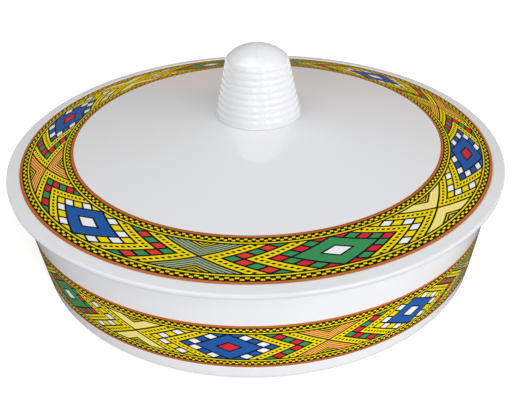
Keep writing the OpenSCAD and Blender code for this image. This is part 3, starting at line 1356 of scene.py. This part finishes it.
@dataclass
class Fixing:
    """The pieces that hold the knob on the lid: a brass insert, a pan-head screw and a sealing washer."""

    seat_z: float = SEAT_Z
    lid_wall: float = WALL
    bore_r: float = 3.05
    insert_gap: float = 0.05
    insert_edge: float = 0.4
    insert_joint: float = 0.1
    knurl_count: int = 32
    knurl_depth: float = 0.14
    knurl_from: float = 2.5
    groove_half: float = 1.4
    groove_depth: float = 0.5
    screw_r: float = 3.0
    screw_len: float = 22.0
    shank_from: float = 0.2
    plain_len: float = 7.4
    run_in: float = 1.0
    thread_pitch: float = 1.0
    thread_depth: float = 0.5
    thread_least: float = 0.25
    tip_len: float = 0.6
    tip_in: float = 1.0
    tip_fade: float = 1.2
    head_r: float = 6.0
    head_h: float = 3.8
    head_pan: float = 1.5
    head_edge: float = 0.4
    face_in: float = 1.2
    face_dish: float = 0.2
    recess_w: float = 1.4
    recess_len: float = 7.0
    recess_depth: float = 2.0
    recess_edge: float = 0.16
    recess_ramp: float = 0.9
    washer_r: float = 9.5
    washer_t: float = 1.6
    washer_hole: float = 3.3
    washer_edge: float = 0.6
    hole_edge: float = 0.3
    washer_joint: float = 0.05
    washer_guard: float = 0.2
    columns: int = 192
    washer_columns: int = 96
    wall_points: int = 20
    wall_from: float = 2.0
    face_points: int = 44
    rim_points: int = 8
    thread_points: int = 190

    def __post_init__(self) -> None:
        """Work out the height of the washer's underside, where the screw's head bears."""
        self.head_z = self.seat_z - self.lid_wall - self.washer_t

    def insert(self) -> RoundMesh:
        """The brass insert: a sleeve whose outside is knurled, r less a wave round the axis, with a groove.

        Returns:
            The round mesh.
        """
        outer = INSERT_R - self.insert_gap
        half = INSERT_LEN / 2.0
        rows = rounded([
            (self.bore_r, half, 0.0),
            (self.bore_r, 0.0, self.insert_edge),
            (outer, 0.0, self.insert_edge),
            (outer, INSERT_LEN, self.insert_edge),
            (self.bore_r, INSERT_LEN, self.insert_edge),
            (self.bore_r, half + self.insert_joint, 0.0),
        ])
        wall_z = np.linspace(self.wall_from, INSERT_LEN - self.wall_from, self.wall_points)
        wall = np.stack([np.full(self.wall_points, outer), wall_z], axis=1)
        under_wall = 1 + 2 * ROUND_POINTS
        rows = guarded(np.concatenate([rows[:under_wall], wall, rows[under_wall:]]))
        azimuth = np.linspace(0.0, FULL_TURN, self.columns, endpoint=False)
        from_middle = np.abs(rows[:, 1] - half)
        outside = (rows[:, 0] > outer - self.insert_gap) & (from_middle < half - self.knurl_from)
        knurled = outside & (from_middle > self.groove_half)
        knurl = self.knurl_depth * (1.0 + np.cos(self.knurl_count * azimuth))
        groove = (outside & ~knurled)[:, None] * self.groove_depth
        radius = rows[:, :1] - knurled[:, None] * knurl[None, :] - groove
        height = rows[:, 1:] * np.ones((1, self.columns)) + self.seat_z
        return RoundMesh("knob_thread_insert", radius, height, True)

    def screw(self) -> RoundMesh:
        """The pan-head screw, from its recessed face up over the head and along its thread.

        The recess is a cross with soft edges and a floor that rises to its ends. The thread is a saw
        wave of the height along the pitch less the azimuth.

        Returns:
            The round mesh.
        """
        azimuth = np.linspace(0.0, FULL_TURN, self.columns, endpoint=False)[None, :]
        ones = np.ones_like(azimuth)
        face_r = self.head_r - self.face_in
        spread = np.linspace(0.0, face_r, self.face_points)[:, None]
        x = np.abs(spread * np.sin(azimuth))
        y = np.abs(spread * np.cos(azimuth))
        across = (self.recess_w / 2.0 - np.minimum(x, y)) / self.recess_edge + 0.5
        along = (self.recess_len / 2.0 - np.maximum(x, y)) / self.recess_ramp
        recess = self.recess_depth * np.clip(across, 0.0, 1.0) * np.clip(along, 0.0, 1.0)
        face_z = recess - self.head_h + self.face_dish * (spread / self.head_r) ** 2
        rim = rounded([
            (face_r, float(face_z[-1, 0]), 0.0),
            (self.head_r, -self.head_h, self.head_pan),
            (self.head_r, 0.0, self.head_edge),
            (self.screw_r, 0.0, 0.0),
        ], self.rim_points)[1:-1]
        shank_end = self.screw_len - self.tip_len
        shank = np.linspace(self.shank_from, shank_end, self.thread_points)[:, None]
        turn = np.mod(shank / self.thread_pitch - azimuth / FULL_TURN, 1.0)
        saw = np.abs(turn - 0.5) * 2.0
        taper = np.clip((shank_end - shank) / self.tip_fade, 0.0, 1.0)
        started = np.clip((shank - self.plain_len) / self.run_in, 0.0, 1.0)
        shape = self.thread_least + (1.0 - self.thread_least) * (saw * taper + 1.0 - taper)
        thread = self.screw_r - self.thread_depth * shape * started
        tip_r = (self.screw_r - self.tip_in) * ones
        radius = np.concatenate([spread * ones, rim[:, :1] * ones, thread, tip_r, 0.0 * ones])
        tip_z = np.full((2, self.columns), self.screw_len)
        height = np.concatenate([face_z, rim[:, 1:] * ones, shank * ones, tip_z])
        return RoundMesh("knob_pan_screw", radius, height + self.head_z, False)

    def washer(self) -> RoundMesh:
        """The sealing washer: a flat ring with rounded edges.

        Returns:
            The round mesh.
        """
        half = self.washer_t / 2.0
        rows = rounded([
            (self.washer_hole, half, 0.0),
            (self.washer_hole, 0.0, self.hole_edge),
            (self.washer_r, 0.0, self.washer_edge),
            (self.washer_r, self.washer_t, self.washer_edge),
            (self.washer_hole, self.washer_t, self.hole_edge),
            (self.washer_hole, half + self.washer_joint, 0.0),
        ])
        rows = guarded(rows, self.washer_guard) + np.array([[0.0, self.head_z]])
        return RoundMesh.lathe("knob_seal", rows, self.washer_columns, True)

    def build(self) -> None:
        """Build and dress the insert, the screw and the washer."""
        brass = TurnedMetal("turned_brass", (222, 190, 118), (176, 138, 78), 2600.0, 0.24)
        dress(self.insert().build(), brass, Body.LID, "knob_insert")
        steel = TurnedMetal("zinc_plated_steel", (206, 208, 212), (164, 166, 168), 1800.0, 0.28)
        dress(self.screw().build(), steel, Body.LID, "knob_screw")
        rubber = SealRubber("seal_rubber")
        dress(self.washer().build(), rubber, Body.LID, "knob_washer")


def placed(right: np.ndarray, up: np.ndarray, back: np.ndarray, place: np.ndarray) -> Matrix:
    """Matrix of a lamp or camera that looks along minus its back axis.

    Args:
        right: Its x axis.
        up: Its y axis.
        back: Its z axis.
        place: Where it is, in metres.

    Returns:
        The matrix.
    """
    whole = np.eye(4)
    whole[:3, 0] = right
    whole[:3, 1] = up
    whole[:3, 2] = back
    whole[:3, 3] = place
    return Matrix(whole.tolist())


@dataclass(frozen=True)
class SoftLamp:
    """A rectangular lamp that looks at the bowl."""

    name: str
    azimuth: float
    elevation: float
    distance: float
    wide: float
    tall: float
    power: float
    spared: tuple[str, ...] = ()

    def build(self) -> None:
        """Place the lamp on a sphere about the bowl, turned towards it. The spared pieces get no light."""
        turn = math.radians(self.azimuth)
        rise = math.radians(self.elevation)
        level = math.cos(rise)
        back = np.array([math.sin(turn) * level, -math.cos(turn) * level, math.sin(rise)])
        right = np.array([math.cos(turn), math.sin(turn), 0.0])
        up = np.cross(back, right)
        place = back * self.distance + np.array([0.0, 0.0, LAMP_AIM_Z])
        data = bpy.data.lights.new(self.name, "AREA")
        data.shape = "RECTANGLE"
        data.size = self.wide
        data.size_y = self.tall
        data.energy = self.power
        lamp = bpy.data.objects.new(self.name, data)
        lamp.matrix_world = placed(right, up, back, place)
        bpy.context.scene.collection.objects.link(lamp)
        if self.spared:
            group = bpy.data.collections.new(self.name + "_spared")
            for piece in self.spared:
                group.objects.link(bpy.data.objects[piece])
            for entry in group.collection_objects:
                entry.light_linking.link_state = "EXCLUDE"
            lamp.light_linking.receiver_collection = group


def hang_card(name: str, points: np.ndarray, tone: Triple) -> None:
    """Hang a card that only gloss sees, so that it hides nothing and takes no light away.

    Args:
        name: Name of the card.
        points: Grid of its points, in metres.
        tone: Its screen colour.
    """
    rows, columns = points.shape[:2]
    corner = (np.arange(rows - 1)[:, None] * columns + np.arange(columns - 1)[None, :]).reshape(-1, 1)
    faces = corner + np.array([[0, columns, columns + 1, 1]])
    mesh = bpy.data.meshes.new(name)
    mesh.from_pydata(points.reshape(-1, 3).tolist(), [], faces.tolist())
    card = bpy.data.objects.new(name, mesh)
    bpy.context.scene.collection.objects.link(card)
    card.visible_camera = False
    card.visible_diffuse = False
    card.visible_shadow = False
    material, sheet = NodeSheet.for_material(name + "_card")
    clouds = sheet.noise(sheet.place(), CARD_CLOUDS)
    shade = tuple(channel * CARD_SHADE for channel in tone)
    colour = sheet.blend(clouds, linear(*tone), linear(*shade))
    sheet.surface({"Base Color": colour, "Roughness": CARD_ROUGH})
    mesh.materials.append(material)


@dataclass(frozen=True)
class RoomCard:
    """A card on a patch of a sphere about the bowl, which the gloss shows and the camera doesn't."""

    name: str
    azimuths: Pair
    elevations: Pair
    distance: float
    tone: Triple

    def build(self) -> None:
        """Hang the card: points on a sphere about the bowl, by elevation and then by azimuth."""
        azimuth = np.radians(np.linspace(*self.azimuths, CARD_COLUMNS))[None, :]
        elevation = np.radians(np.linspace(*self.elevations, CARD_ROWS))[:, None]
        x = np.cos(elevation) * np.sin(azimuth)
        y = -np.cos(elevation) * np.cos(azimuth)
        z = np.sin(elevation) * np.ones_like(azimuth)
        points = np.stack([x, y, z], axis=-1) * self.distance + np.array([0.0, 0.0, CARD_AIM_Z])
        points[..., 2] = np.maximum(points[..., 2], CARD_LOWEST)
        hang_card(self.name, points, self.tone)


@dataclass
class Studio:
    """Floor, light, cards and camera."""

    place: Triple = (0.0, -567.0, 392.9)
    heading: float = 3.493
    dip: float = 33.141
    roll: float = 0.35
    focal_px: float = 671.0
    offset_px: float = 39.5
    image_px: float = 512.0
    sensor: float = 36.0
    clip_start: float = 0.01
    fill: float = 0.48
    fill_side: Triple = (0.75, -0.66, 0.0)
    fill_lean: float = 0.28
    floor_tone: Triple = (250, 250, 250)
    floor_grain: Triple = (247, 247, 247)
    grain_scale: float = 90.0
    floor_half: float = 6.0
    floor_drop: float = 0.3
    floor_glow: float = 0.34
    floor_far: float = 0.5
    floor_fade: Pair = (1.2, 1.4)
    lamps: tuple[SoftLamp, ...] = (
        SoftLamp("key_softbox", 40.0, 34.0, 2.2, 1.6, 1.2, 13.5),
        SoftLamp("near_window", 23.0, 13.0, 2.0, 0.24, 0.30, 3.0, LID_PIECES),
        SoftLamp("far_window", 50.0, 13.0, 2.4, 0.9, 0.14, 3.6, LID_PIECES),
        SoftLamp("left_window", -10.0, 13.0, 2.1, 0.22, 0.24, 1.7, LID_PIECES),
        SoftLamp("ceiling", -66.0, 62.0, 2.2, 2.0, 2.0, 18.5),
    )
    cards: tuple[RoomCard, ...] = (
        RoomCard("left_back_wall", (181.0, 252.0), (-3.0, 7.2), 2.6, (172, 104, 30)),
        RoomCard("right_back_wall", (108.0, 179.0), (-3.0, 19.0), 2.6, (152, 102, 58)),
        RoomCard("left_wall", (252.0, 318.0), (-3.0, 18.0), 2.6, (110, 108, 106)),
        RoomCard("far_wall", (100.0, 260.0), (6.0, 36.0), 2.8, (132, 114, 90)),
        RoomCard("back_ceiling", (100.0, 260.0), (36.0, 80.0), 2.8, (120, 120, 120)),
    )
    mat_in: float = 206.0
    mat_out: float = 2000.0
    mat_azimuths: Pair = (-95.0, 95.0)
    mat_z: float = 0.6
    mat_tone: Triple = (92, 84, 78)
    mat_columns: int = 65
    mat_rows: int = 9

    def camera(self) -> None:
        """Place the camera where the photograph was taken from."""
        heading = math.radians(self.heading)
        dip = math.radians(self.dip)
        roll = math.radians(self.roll)
        flat = math.cos(dip)
        ahead = np.array([math.sin(heading) * flat, math.cos(heading) * flat, -math.sin(dip)])
        level = np.array([math.cos(heading), -math.sin(heading), 0.0])
        upright = np.cross(level, ahead)
        right = math.cos(roll) * level + math.sin(roll) * upright
        up = math.cos(roll) * upright - math.sin(roll) * level
        data = bpy.data.cameras.new("photo_camera")
        data.sensor_width = self.sensor
        data.lens = self.focal_px / self.image_px * self.sensor
        data.shift_x = -self.offset_px / self.image_px
        data.clip_start = self.clip_start
        made = bpy.data.objects.new("photo_camera", data)
        made.matrix_world = placed(right, up, -ahead, np.array(self.place) * MM)
        bpy.context.scene.collection.objects.link(made)
        bpy.context.scene.camera = made

    def floor(self) -> None:
        """Lay a plain pale floor that shows as white where no shadow falls."""
        half = self.floor_half
        low = -self.floor_drop * MM
        corners = [(-half, -half, low), (half, -half, low), (half, half, low), (-half, half, low)]
        mesh = bpy.data.meshes.new("studio_floor")
        mesh.from_pydata(corners, [], [(0, 1, 2, 3)])
        made = bpy.data.objects.new("studio_floor", mesh)
        bpy.context.scene.collection.objects.link(made)
        material, sheet = NodeSheet.for_material("studio_paper")
        place = sheet.place()
        grain = sheet.noise(place, self.grain_scale, detail=4.0)
        colour = sheet.blend(grain, linear(*self.floor_tone), linear(*self.floor_grain))
        paper = sheet.node("ShaderNodeBsdfDiffuse", None, {"Color": colour})
        length = sheet.node("ShaderNodeVectorMath", {"operation": "LENGTH"}, {0: place})
        away = Signal(sheet, length.outputs[1])
        strength = self.floor_glow + away.past(*self.floor_fade) * self.floor_far
        glow = sheet.node("ShaderNodeEmission", None, {"Strength": self.seen(sheet) * strength})
        both = sheet.node("ShaderNodeAddShader", None, {0: paper.outputs[0], 1: glow.outputs[0]})
        sheet.node("ShaderNodeOutputMaterial", None, {0: both.outputs[0]})
        mesh.materials.append(material)

    def mat(self) -> None:
        """Lay a dark sector on the floor in front of the bowl, which only the gloss of its wall shows."""
        azimuth = np.radians(np.linspace(*self.mat_azimuths, self.mat_columns))[None, :]
        radius = np.linspace(self.mat_in, self.mat_out, self.mat_rows)[:, None]
        level = np.full((self.mat_rows, self.mat_columns), self.mat_z)
        points = np.stack([radius * np.sin(azimuth), -radius * np.cos(azimuth), level], axis=-1)
        hang_card("table_mat", points * MM, self.mat_tone)

    def seen(self, sheet: NodeSheet) -> Signal:
        """Mask of the rays that show a surface: from the camera, from gloss and through glass.

        Args:
            sheet: The node sheet.

        Returns:
            1 for those rays and 0 for light that only brightens other surfaces.
        """
        path = sheet.node("ShaderNodeLightPath").outputs
        camera, gloss, glass = (Signal(sheet, path[f"Is {kind} Ray"]) for kind in SEEN_RAYS)
        return sheet.math("MAXIMUM", sheet.math("MAXIMUM", camera, gloss), glass)

    def world(self) -> None:
        """Surround the scene with white, which as light has the level fill and leans to the fill side."""
        world = bpy.data.worlds.new("studio_white")
        world.use_nodes = True
        bpy.context.scene.world = world
        sheet = NodeSheet(world.node_tree)
        seen = self.seen(sheet)
        dot = {"operation": "DOT_PRODUCT"}
        lean = sheet.node("ShaderNodeVectorMath", dot, {0: sheet.place(), 1: self.fill_side})
        level = self.fill + Signal(sheet, lean.outputs[1]) * self.fill_lean
        strength = level + seen * (1.0 - level)
        white = linear(255, 255, 255)
        back = sheet.node("ShaderNodeBackground", None, {"Color": white, "Strength": strength})
        sheet.node("ShaderNodeOutputWorld", None, {0: back.outputs[0]})

    def build(self) -> None:
        """Build camera, floor, world, lamps and cards."""
        self.camera()
        self.floor()
        self.mat()
        self.world()
        for item in self.lamps + self.cards:
            item.build()
        bpy.context.scene.view_settings.view_transform = "Standard"


def main() -> None:
    """Build the scene: bowl, lid, knob and its fixing, then the studio."""
    logging.basicConfig(level=logging.INFO, format="%(message)s")
    for part in (Bowl(), Lid(), Knob(), Fixing()):
        part.build()
    Studio().build()


if __name__ == "__main__":
    main()
